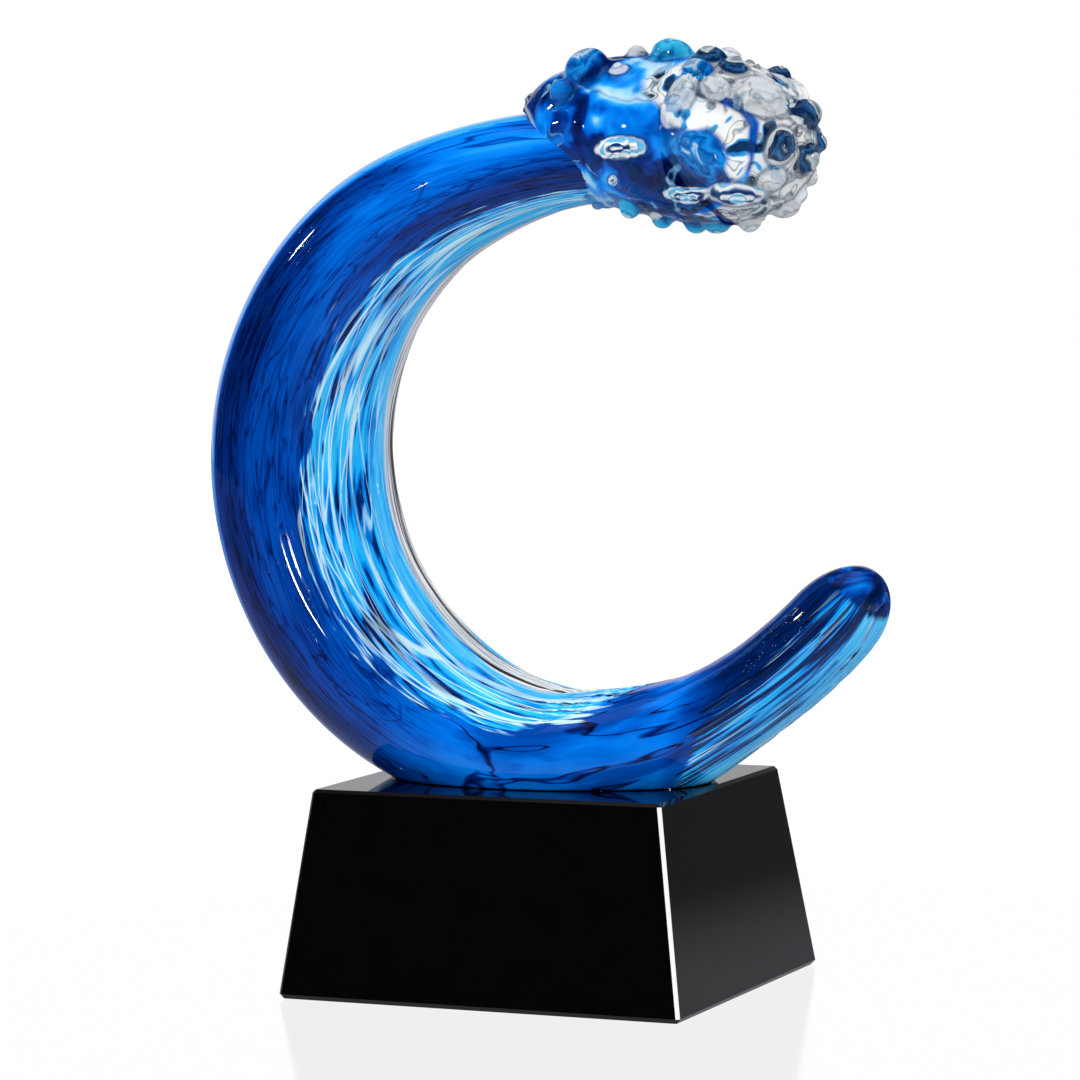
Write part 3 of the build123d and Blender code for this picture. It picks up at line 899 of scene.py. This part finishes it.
# Degrees from the tip of the nose, degrees round from the top towards the front,
# half length and half width as shares of the head's radius, degrees turned, and
# the tone of a coloured drop
drop_shares = {
    "drop_shoulder_large": (126, 28, 0.3, 0.29, 0, "blue"),
    "drop_shoulder_small": (131, 55, 0.18, 0.17, 0, "blue"), "drop_top_bud": (113, 36, 0.12, 0.11, 0),
    "drop_top_clear": (113, 2, 0.15, 0.14, 0), "drop_top_teal": (101, 8, 0.27, 0.22, 0, "aqua"),
    "drop_top_blue": (87, 14, 0.2, 0.18, 0, "navy"), "drop_curl": (88, 37, 0.2, 0.16, 40, "blue"),
    "drop_tall_finger": (90, 62, 0.32, 0.15, 80), "drop_striated": (75, 48, 0.17, 0.15, -30),
    "drop_ridge_blue": (73, 22, 0.16, 0.14, 0, "navy"), "drop_nose_top": (56, -12, 0.17, 0.16, 0, "navy"),
    "drop_shell": (53, 40, 0.31, 0.25, 20), "drop_nose_dark": (27, 8, 0.3, 0.2, 75, "navy"),
    "drop_nose_small": (9, -40, 0.14, 0.12, 60, "navy"), "drop_nose_eye": (34, 86, 0.2, 0.16, 80, "navy"),
    "drop_nose_mid": (12, 118, 0.19, 0.15, 70, "navy"), "drop_nose_low": (25, 220, 0.12, 0.11, 0),
    "drop_side_clear": (39, 126, 0.17, 0.15, 0), "inlay_eye_upper": (106, 100, 0.31, 0.13, 10),
    "inlay_lobe": (75, 97, 0.38, 0.27, -35, "blue"), "inlay_eye_lower": (84, 130, 0.28, 0.12, 10, "aqua"),
    "inlay_swirl": (59, 133, 0.32, 0.17, -20), "drop_tear": (109, 126, 0.08, 0.06, 60),
    "drop_chain_first": (107, 158, 0.18, 0.16, 40, "aqua"), "drop_chain_finger": (99, 158, 0.13, 0.09, 60),
    "drop_chain_aqua": (100, 178, 0.16, 0.14, 0, "aqua"),
    "drop_chain_bright": (90, 180, 0.18, 0.16, 0, "aqua"),
    "drop_chain_ring": (78, 174, 0.2, 0.15, 0, "aqua"), "drop_chain_clear": (63, 182, 0.17, 0.15, 0),
    "drop_chain_wide": (43, 190, 0.2, 0.17, -20), "drop_chain_last": (31, 192, 0.13, 0.11, 0),
    "back_shoulder": (122, 325, 0.24, 0.22, 0, "blue"), "back_ridge": (105, 338, 0.18, 0.16, 0),
    "back_large": (98, 302, 0.3, 0.24, 30, "blue"), "back_crown": (87, 343, 0.18, 0.16, 0),
    "back_blue": (79, 315, 0.2, 0.17, -20, "navy"), "back_shell": (58, 318, 0.29, 0.23, 30),
    "inlay_back_eye": (108, 262, 0.3, 0.13, -10), "inlay_back_lobe": (85, 262, 0.35, 0.26, 30, "blue"),
    "back_finger": (66, 285, 0.28, 0.14, 70), "back_nose": (42, 278, 0.21, 0.18, 60, "navy"),
    "back_side": (47, 240, 0.2, 0.17, 0), "inlay_back_swirl": (74, 232, 0.28, 0.16, 20),
    "back_low_first": (111, 224, 0.16, 0.14, 0), "back_low_second": (101, 206, 0.17, 0.15, 0, "aqua"),
    "back_low_third": (89, 204, 0.16, 0.14, 0, "aqua"), "back_low_fourth": (68, 207, 0.18, 0.16, 0),
}
print(len(drop_shares), "drops are planned")


# %% Make a drop
def drop_frame(from_nose, around, turned=0.0):
    """A place on the egg, and the three directions of a drop there."""
    length = head_nose_length if from_nose < 90 else head_lap_length
    polar, round_it, twist = radians(from_nose), radians(around), radians(turned)
    spoke = head_up * cos(round_it) + head_front * sin(round_it)
    place = head_origin + head_line * length * cos(polar) + spoke * head_radius * sin(polar)
    outward = head_line * cos(polar) / length + spoke * sin(polar) / head_radius
    outward /= np.linalg.norm(outward)
    sideways = np.cross(spoke, head_line)
    lengthways = np.cross(sideways, outward)
    drop_line = lengthways * cos(twist) + sideways * sin(twist)
    return place, drop_line, np.cross(outward, drop_line), outward


def ball(frame_of, radii, rows=20, columns=36):
    """Points and faces of a stretched ball in a frame of three directions."""
    place, first, second, third = frame_of
    polar = np.linspace(0, pi, rows + 1)[1:-1]
    turn = np.linspace(0, 2 * pi, columns, endpoint=False)
    p, t = np.meshgrid(polar, turn, indexing="ij")
    local = np.stack((np.sin(p) * np.cos(t), np.sin(p) * np.sin(t), np.cos(p)), axis=-1).reshape(-1, 3)
    local = np.vstack((local, (0, 0, 1), (0, 0, -1))) * radii
    points = place + local @ np.array((first, second, third))
    start = np.arange(columns)
    after = np.roll(start, -1)
    count = rows - 1
    faces = []
    for row in range(count - 1):
        a, b = row * columns, (row + 1) * columns
        faces += [(int(a + i), int(b + i), int(b + j), int(a + j)) for i, j in zip(start, after)]
    top, bottom, last = count * columns, count * columns + 1, (count - 1) * columns
    faces += [(top, int(i), int(j)) for i, j in zip(start, after)]
    faces += [(bottom, int(last + j), int(last + i)) for i, j in zip(start, after)]
    return points, faces


drops = {}
for name, (from_nose, around, long_share, wide_share, turned, *_) in drop_shares.items():
    place, first, second, third = drop_frame(from_nose, around, turned)
    half_long, half_wide = head_radius * long_share, head_radius * wide_share
    sink = half_wide * (inlay_sink_share if name.startswith("inlay") else drop_sink_share)
    drops[name] = ((place - third * sink, first, second, third), (half_long, half_wide, half_wide))
print(len(drops), "drops on the head")


# %% Shapes and melting
def egg_shape(grow=0.0, rows=60, columns=96):
    """The egg as points and faces: a ball whose two ends are stretched unlike."""
    upright = (head_origin, head_up, head_front, head_line)
    points, faces = ball(upright, (head_radius + grow,) * 3, rows, columns)
    reach = (points - head_origin) @ head_line
    stretch = np.where(reach > 0, head_nose_length + grow, head_lap_length + grow) / (head_radius + grow)
    return points + np.outer(reach * (stretch - 1), head_line), faces


def mesh_of(name, shapes):
    points, faces, start = [], [], 0
    for shape_points, shape_faces in shapes:
        points.append(shape_points)
        faces += [tuple(start + i for i in face) for face in shape_faces]
        start += len(shape_points)
    mesh = bpy.data.meshes.new(name)
    mesh.from_pydata((np.vstack(points) * MM).tolist(), [], faces)
    mesh.update()
    return put(name, mesh)


def settle(piece, voxel, rounds):
    """Remeshes a piece to even voxels, smooths it, and keeps the result."""
    remesh = piece.modifiers.new("melt", "REMESH")
    remesh.mode, remesh.voxel_size, remesh.use_smooth_shade = "VOXEL", voxel * MM, True
    smooth = piece.modifiers.new("soften", "SMOOTH")
    smooth.factor, smooth.iterations = 0.5, rounds
    take_mesh(piece)
    piece.data.shade_smooth()


print("shapes can be melted together")

# %% Lay the wound trail and the rim
rim_lean = radians(45.0)
rim_behind = 51.0
rim_place = head_origin - head_line * rim_behind
rim_way = head_line * cos(rim_lean) + head_up * sin(rim_lean)
joint_lean = radians(33.0)
joint_way = head_line * cos(joint_lean) + head_up * sin(joint_lean)
joint_place = head_origin - head_line * 1.0
trail_radius, trail_wander = 1.2, 4.6
rope_widening = 1.35


def rope_shape(place, way, tube_radius, wander, sunk, count=260, sides=12):
    """A rope of glass that runs round the head where a plane cuts it. Halving steps
    find how far out the egg ends on each spoke."""
    side_way = np.cross(head_front, way)
    points, faces = [], []
    for row, turn in enumerate(np.linspace(0, 2 * pi, count, endpoint=False)):
        spoke = side_way * cos(turn) + head_front * sin(turn)
        foot = place + way * wander * (0.7 * sin(2 * turn + 0.6) + 0.3 * sin(5 * turn + 2.0))
        low, high = 5.0, 70.0
        for _ in range(24):
            middle = (low + high) / 2
            spot = foot + spoke * middle - head_origin
            reach = spot @ head_line
            length = head_nose_length if reach > 0 else head_lap_length
            off_line = np.linalg.norm(spot - head_line * reach)
            inside_egg = (reach / length) ** 2 + (off_line / head_radius) ** 2 < 1
            low, high = (middle, high) if inside_egg else (low, middle)
        heart = foot + spoke * (low - sunk)
        swell = tube_radius * (1 + 0.25 * sin(7 * turn) + 0.15 * sin(13 * turn + 1.0))
        for i in range(sides):
            t = 2 * pi * i / sides
            points.append(heart + (spoke * cos(t) + way * sin(t) * rope_widening) * swell)
            j, after = (i + 1) % sides, (row + 1) % count
            faces.append((row * sides + i, row * sides + j, after * sides + j, after * sides + i))
    return np.array(points), faces


print("ropes can be wound round the head")

# %% Melt the egg and its drops into one skin
drop_swell = 1.03
skin = mesh_of("crest_skin", [egg_shape()])
cut_away(skin, rim_place, -rim_way)
shapes = [ball(frame_of, np.array(radii) * drop_swell) for frame_of, radii in drops.values()]
ropes = [rope_shape(joint_place, joint_way, trail_radius, trail_wander, 1.2),
         rope_shape(rim_place, rim_way, 1.5, 0.0, 0.8)]
balls = mesh_of("crest_drops", shapes + ropes)
bpy.ops.object.select_all(action="DESELECT")
for piece in (balls, skin):
    piece.select_set(True)
bpy.context.view_layer.objects.active = skin
bpy.ops.object.join()
settle(skin, 0.6, 7)

# %% [markdown]
# ## What each place of the head is made of
# The skin keeps numbers on its points for the paint. "blue" is 1 on the blue cap
# and on the ribbon of blue that was wound on, and 0 in the clear nose and in the
# clear window beside the ribbon. "window" marks that window, "near_drop" grows
# towards the middle of a drop, "drop_tone" is that drop's colour from clear over
# aqua and blue to navy, "crown" is 1 on a drop's top, and "ring" counts from an
# eye's rim to its middle. "foam" says where small beads may sit, and "rim" marks the
# cap's edge. They are worked out from each point's place on the egg, because then
# they stay right when a drop is moved.

# %% Draw the joint, the window and the ribbon
joint_wander = (
    (0, 90), (18, 91), (33, 97), (47, 103), (61, 101), (72, 92), (83, 74), (95, 62), (112, 58), (122, 62),
    (133, 74), (144, 86), (160, 82), (180, 86), (210, 94), (240, 82), (262, 66), (285, 70), (310, 90),
    (335, 96),
)
window_paths = (
    ((91, 31), (94, 47), (93, 62), (90, 74), (81, 76), (73, 71), (65, 77), (59, 86), (56, 100), (58, 109)),
    ((95, 335), (96, 318), (92, 300), (84, 292), (75, 290), (66, 280), (60, 268), (59, 250)),
)
ribbon_paths = (
    ((80, 50), (68, 57), (59, 60), (51, 69), (50, 85), (52, 103), (55, 119), (64, 134), (78, 146)),
    ((82, 318), (70, 305), (58, 296), (51, 282), (50, 262), (54, 244), (66, 228)),
)
window_half_width, ribbon_half_width = 2.8, 1.5
mm_per_degree = 0.6
tone_values = {"aqua": 0.34, "blue": 0.67, "navy": 1.0}
tone_of = {name: shares[5] for name, shares in drop_shares.items() if len(shares) > 5}
eyes = ("inlay_eye_upper", "inlay_eye_lower", "inlay_swirl", "inlay_back_eye", "inlay_back_swirl",
        "drop_tear")
shells = ("drop_shell", "back_shell", "drop_striated", "drop_tall_finger", "back_finger")


def distance_to(points, path):
    """How far points lie from a path of straight steps, in millimetres."""
    corners = [drop_frame(*place)[0] for place in path]
    nearest = np.full(len(points), np.inf)
    for start, end in zip(corners[:-1], corners[1:]):
        leg = end - start
        share = np.clip((points - start) @ leg / (leg @ leg), 0, 1)
        nearest = np.minimum(nearest, np.linalg.norm(points - start - np.outer(share, leg), axis=1))
    return nearest


def edge(distance, soft):
    """1 where a distance is below zero, 0 above it, with a soft step."""
    return np.clip(0.5 - distance / (2 * soft), 0, 1)


print(len(tone_of), "drops are coloured")

# %% Mark the skin
flat = np.empty(len(skin.data.vertices) * 3)
skin.data.vertices.foreach_get("co", flat)
places = flat.reshape(-1, 3) / MM
offset = places - head_origin
reach = offset @ head_line
sideways = np.hypot(offset @ head_up, offset @ head_front)
length_here = np.where(reach > 0, head_nose_length, head_lap_length)
from_nose = np.degrees(np.arctan2(sideways / head_radius, reach / length_here))
around_head = np.degrees(np.arctan2(offset @ head_front, offset @ head_up)) % 360
turns, limits = zip(*joint_wander)
limit = np.interp(around_head, turns, limits, period=360)
blue = edge((limit - from_nose) * mm_per_degree, 0.9)
window = np.zeros(len(places))
for path in window_paths:
    window = np.maximum(window, edge(distance_to(places, path) - window_half_width, 0.7))
blue *= 1 - window
for path in ribbon_paths:
    blue = np.maximum(blue, edge(distance_to(places, path) - ribbon_half_width, 0.5))

near_drop, drop_tone, ring, crown = (np.zeros(len(places)) for _ in range(4))
for name, ((place, first, second, third), radii) in drops.items():
    local = (places - place) @ np.array((first, second, third)).T / (np.array(radii) * drop_swell)
    radius = np.linalg.norm(local, axis=1)
    near = np.clip(1.6 - radius, 0, 0.6) / 0.6
    closer = near > near_drop
    near_drop[closer] = near[closer]
    drop_tone[closer] = tone_values.get(tone_of.get(name), 0.0)
    crown[closer] = np.clip(local[closer, 2] / np.maximum(radius[closer], 0.01), 0, 1)
    flat_radius = np.hypot(local[:, 0], local[:, 1])
    if name in eyes:
        ring = np.maximum(ring, np.where(radius < 1.5, np.clip(1.25 - flat_radius, 0, 1.25), 0))

print("blue covers", round(float(blue.mean()), 2), "of the skin's points")

# %% Pinch the shells, stir the eyes and keep the marks
normals = np.empty(len(places) * 3)
skin.data.vertex_normals.foreach_get("vector", normals)
# Beads sit on the clear nose and under the head, where there is room between drops
foam = (1 - blue) * edge(from_nose - 82, 8.0) + 0.5 * edge(np.abs(around_head - 182) - 40, 8.0)
foam *= edge(near_drop - 0.45, 0.2) * (1 - window)
rim = edge(np.abs((places - rim_place) @ rim_way - 0.4) - 0.5, 0.3)
pleat_pitch, pleat_depth = 2.6, 0.38
ring_turns, ring_depth, eye_sink = 1.6, 0.35, 0.3
push = np.zeros(len(places))
for name in shells + eyes:
    (place, first, second, third), radii = drops[name]
    local = (places - place) @ np.array((first, second, third)).T
    radius = np.linalg.norm(local / (np.array(radii) * drop_swell), axis=1)
    inside = np.clip((1.35 - radius) / 0.35, 0, 1)
    if name in shells:
        wave = np.cos(2 * pi * local[:, 1] / pleat_pitch + 0.5 * np.sin(local[:, 0] * 0.5))
        push += inside * wave * pleat_depth
    else:
        wave = np.cos(2 * pi * np.linalg.norm(local[:, :2] / radii[1], axis=1) * ring_turns)
        push += inside * wave * ring_depth - inside * eye_sink
places += normals.reshape(-1, 3) * push[:, None]
skin.data.vertices.foreach_set("co", (places * MM).ravel())
skin.data.update()
skin_marks = {"blue": blue, "window": window, "near_drop": near_drop, "drop_tone": drop_tone,
              "ring": ring, "crown": crown, "foam": foam, "rim": rim}
for note, values in skin_marks.items():
    keep(skin.data, note, values)
print("the skin keeps", len(skin_marks), "numbers a point")

# %% [markdown]
# ## Paint for the head's skin
# The clear nose is painted too, over glass that bends light. The nose and the window
# get threads of white, grey and dark blue that swirl: painted light and shade, which stand in for the
# white backdrop and the dark room seen through folded clear glass. The eyes get rings of navy, grey, white
# and blue.
# The threads come from noise that is bent by other noise, which is what stirring does.

# %% Stir the head's colours
head_glaze, bench = new_material("crest_skin_glass")
where = bench.object_place()
stir = bench.noise(where, 60.0, 2.0, out="Color")
stirred = bench.node("ShaderNodeVectorMath", {"operation": "MULTIPLY_ADD"}, {
    0: stir, 1: (0.045, 0.045, 0.045), 2: where})
threads = bench.noise(stirred, 58.0, 1.5)
clouds = bench.noise(stirred, 26.0, 2.0)
blue_mark, window_mark, near, tone, ring_mark, crown_mark = (
    noted(bench, name) for name in ("blue", "window", "near_drop", "drop_tone", "ring", "crown"))
deep = (clouds - 0.5) * 1.1 + (threads - 0.5) * 1.9 + 0.55
blue_deep = colours(bench, deep,
    (0.22, (0.0, 0.006, 0.06)), (0.4, (0.0, 0.024, 0.23)), (0.45, (0.0, 0.08, 0.5)),
    (0.55, (0.0, 0.18, 0.78)), (0.66, (0.006, 0.3, 0.95)), (0.78, (0.05, 0.44, 1.0)),
    (0.84, (0.26, 0.64, 1.0)), (1.0, (0.6, 0.84, 1.0)))
# The swirl is painted light and shade: its white and grey stand in for the white backdrop, its dark
# threads for the dark room, seen through clear glass
swirl = colours(bench, threads,
    (0.35, (0.0, 0.012, 0.06)), (0.37, (0.01, 0.18, 0.5)), (0.4, (0.03, 0.38, 0.74)),
    (0.415, (0.9, 0.94, 0.94)), (0.49, (1.0, 1.0, 0.98)), (0.52, (0.3, 0.35, 0.37)),
    (0.54, (0.98, 0.98, 0.96)), (0.59, (0.82, 0.86, 0.86)), (0.61, (0.12, 0.16, 0.19)),
    (0.63, (0.9, 0.93, 0.93)), (0.67, (0.01, 0.02, 0.05)))
turn_in = (ring_mark * 8.0 + (clouds - 0.5) * 16.0 + (threads - 0.5) * 7.0).maths("SINE") * 0.5 + 0.5
eye_rings = colours(bench, turn_in,
    (0.0, (0.0, 0.012, 0.06)), (0.1, (0.0, 0.1, 0.42)), (0.2, (0.25, 0.3, 0.34)),
    (0.42, (0.95, 0.97, 0.98)), (0.8, (1.0, 1.0, 1.0)), (0.94, (0.15, 0.56, 0.85)))
fine_threads = bench.noise(stirred, 120.0, 1.0, Distortion=0.8)
print("the stirred glass has", len(head_glaze.node_tree.nodes), "nodes")

# %% Colour the drops
# A drop is a lens: from its rim to its crown it shows rings of what lies behind it,
# which the folds of the glass push about
lens = crown_mark * 0.72 + (threads - 0.5) * 1.5 + (fine_threads - 0.5) * 0.6 + 0.17
clear_drop = colours(bench, lens,
    (0.05, (0.2, 0.26, 0.3)), (0.18, (0.9, 0.94, 0.95)), (0.6, (1.0, 1.0, 1.0)),
    (0.7, (0.3, 0.4, 0.48)), (0.8, (0.98, 0.99, 1.0)), (1.0, (0.86, 0.92, 0.94)))
aqua_drop = colours(bench, lens,
    (0.12, (0.0, 0.06, 0.26)), (0.34, (0.01, 0.34, 0.72)), (0.62, (0.06, 0.6, 0.9)),
    (0.72, (0.01, 0.3, 0.66)), (0.82, (0.1, 0.64, 0.88)), (0.9, (0.88, 0.95, 0.96)))
blue_drop = colours(bench, lens,
    (0.15, (0.0, 0.012, 0.1)), (0.38, (0.0, 0.1, 0.5)), (0.6, (0.01, 0.32, 0.86)),
    (0.74, (0.0, 0.07, 0.38)), (0.88, (0.01, 0.28, 0.74)), (0.96, (0.62, 0.78, 0.86)),
    (1.0, (0.25, 0.4, 0.56)))
navy_drop = colours(bench, lens,
    (0.2, (0.78, 0.85, 0.88)), (0.26, (0.001, 0.008, 0.035)), (0.52, (0.004, 0.03, 0.12)),
    (0.64, (0.03, 0.17, 0.4)), (0.74, (0.003, 0.012, 0.05)), (0.82, (0.06, 0.12, 0.18)),
    (0.88, (0.78, 0.85, 0.88)), (1.0, (0.22, 0.3, 0.34)))
drop_colour = clear_drop
for low, next_drop in ((0.12, aqua_drop), (0.45, blue_drop), (0.78, navy_drop)):
    drop_colour = bench.mix(tone.ramp(low, low + 0.1), drop_colour, next_drop)

print("drops come in 4 tones")

# %% Lay the head's paints over each other
# The clear nose gets the painted swirl of backdrop and room, the cap its own blues
paint = bench.mix(blue_mark, swirl, blue_deep)
# Painted shade: dark navy folds laid by noise on the blue cap, with pale blue painted glints along them
painted_fold_shade = clouds.ramp(0.475, 0.5) * clouds.ramp(0.58, 0.5) * blue_mark
paint = bench.mix(painted_fold_shade * 0.55, paint, (0.0, 0.03, 0.2))
glints = thin_lines(clouds, 0.03) * fine_threads.ramp(0.5, 0.6) * blue_mark
paint = bench.mix(glints * 0.8, paint, (0.3, 0.7, 1.0))
# Painted shade: a dark ring round each drop where its neck meets the skin, grey on clear glass and navy on
# blue
painted_neck_shade = near.ramp(0.3, 0.62) * near.ramp(0.94, 0.76)
paint = bench.mix(painted_neck_shade * 0.6, paint, bench.mix(blue_mark, (0.08, 0.12, 0.16), (0.0, 0.026, 0.15)))
paint = bench.mix(near.ramp(0.72, 0.92) * (tone.ramp(0.05, 0.3) * 0.3 + 0.7), paint, drop_colour)
# A painted pale highlight runs along the cap's rim
paint = bench.mix(noted(bench, "rim") * 0.6, paint, (0.62, 0.8, 0.92))
# The window gets the painted swirl of backdrop and room
paint = bench.mix(window_mark, paint, swirl)
in_eye = ring_mark.ramp(0.1, 0.34)
paint = bench.mix(in_eye, paint, eye_rings)
marked = window_mark.maths("MAXIMUM", in_eye)
share = (0.6 - near * 0.1 + blue_mark * 0.1) * (1.0 - marked) + marked * 0.72
relief = threads * (1.0 - blue_mark * 0.75) * (1.0 - near * 0.5)
glassy = bending_glass(bench, bench.mix(0.8, plain_white, paint), relief, 0.45, 0.0016)
painted_glass(bench, paint, 0.03, share, glassy)
run_tree(skin, melted_waves, **{
    "Wave depth": 1.3, "Waves per metre": 62.0, "Seed": 4.0, "Glass": head_glaze})

# %% [markdown]
# ## Colour inside the drops
# A coloured drop is blue glass with a clear coat, so its colour sits inside and the
# coat bends it like a lens. Each one gets a core of its own inside the skin.

# %% Put the coloured cores in
core_glasses = {
    tone: inside_glass(tone + "_inside_glass", colour, density)
    for tone, colour, density in (
        ("aqua", (0.05, 0.86, 0.95), 90.0), ("blue", (0.0, 0.8, 0.97), 150.0),
        ("navy", (0.0, 0.5, 0.78), 320.0), ("cap", (0.0, 0.82, 0.98), 80.0))
}
core_sizes = {"aqua": 0.8, "blue": 0.78, "navy": 0.56}
for name, tone in tone_of.items():
    frame_of, radii = drops[name]
    heart = mesh_of(name + "_core", [ball(frame_of, np.array(radii) * core_sizes[tone])])
    heart.data.shade_smooth()
    heart.data.materials.append(core_glasses[tone])
    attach(heart, "root")
    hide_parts(name)

cap_core = mesh_of("crest_cap_blue", [egg_shape(-1.6)])
cut_away(cap_core, rim_place + rim_way * 2.0, -rim_way)
cut_away(cap_core, joint_place - joint_way * 6.0, joint_way)
settle(cap_core, 0.9, 6)
cap_core.data.materials.append(core_glasses["cap"])
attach(cap_core, "root")
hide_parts("crest_cap")

trail = rope_shape(joint_place, joint_way, trail_radius, trail_wander, 1.5)
ribbon = mesh_of("crest_trail_ribbon", [trail])
ribbon.data.shade_smooth()
ribbon.data.materials.append(core_glasses["blue"])
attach(ribbon, "root")
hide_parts("crest_trail")
print(len(tone_of), "coloured cores, the cap's blue and the ribbon")

# %% [markdown]
# ## Small froth
# Between the large drops the glass spat small beads. A node tree strews them over
# the skin where its "foam" number is high, keeps them apart, gives each a size of
# its own and sinks it a little, so it reads as melted on.

# %% Strew the beads
def bead_tree():
    nodes, gift = open_tree("froth_beads", ("Beads per area", "Apart", "Smallest", "Largest"), ("Seed",))
    foam_mark = nodes.node("GeometryNodeInputNamedAttribute", {"data_type": "FLOAT"}, {"Name": "foam"})
    spread = nodes.node("GeometryNodeDistributePointsOnFaces", {"distribute_method": "POISSON"}, {
        "Mesh": gift("Geometry"), "Distance Min": gift("Apart"), "Density Max": gift("Beads per area"),
        "Density Factor": foam_mark, "Seed": gift("Seed")})
    outward, turned = (Wire(nodes, spread.socket.node.outputs[each]) for each in ("Normal", "Rotation"))
    size = nodes.node("FunctionNodeRandomValue", {"data_type": "FLOAT"}, {
        2: gift("Smallest"), 3: gift("Largest"), "Seed": gift("Seed")}, out=1)
    sunk = nodes.node("ShaderNodeVectorMath", {"operation": "SCALE"}, {0: outward, "Scale": size * -0.45})
    seated = nodes.node("GeometryNodeSetPosition", inputs={"Geometry": spread, "Offset": sunk})
    bead = nodes.node("GeometryNodeMeshIcoSphere", inputs={"Radius": 1.0, "Subdivisions": 3})
    strewn = nodes.node("GeometryNodeInstanceOnPoints", inputs={
        "Points": seated, "Instance": bead, "Rotation": turned, "Scale": size})
    return close_tree(nodes, gift, strewn)


beads = put("froth_beads", skin.data.copy())
run_tree(beads, bead_tree(), **{
    "Beads per area": 60000.0, "Apart": 3.6 * MM, "Smallest": 1.0 * MM, "Largest": 2.1 * MM,
    "Seed": 8, "Glass": clear_glass})
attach(beads, "root")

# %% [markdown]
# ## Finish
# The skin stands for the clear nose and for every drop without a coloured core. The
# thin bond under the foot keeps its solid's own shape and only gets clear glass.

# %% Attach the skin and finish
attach(skin, "root")
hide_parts("crest_nose", *(name for name in drops if name not in tone_of))
dress("bond_layer", clear_glass)
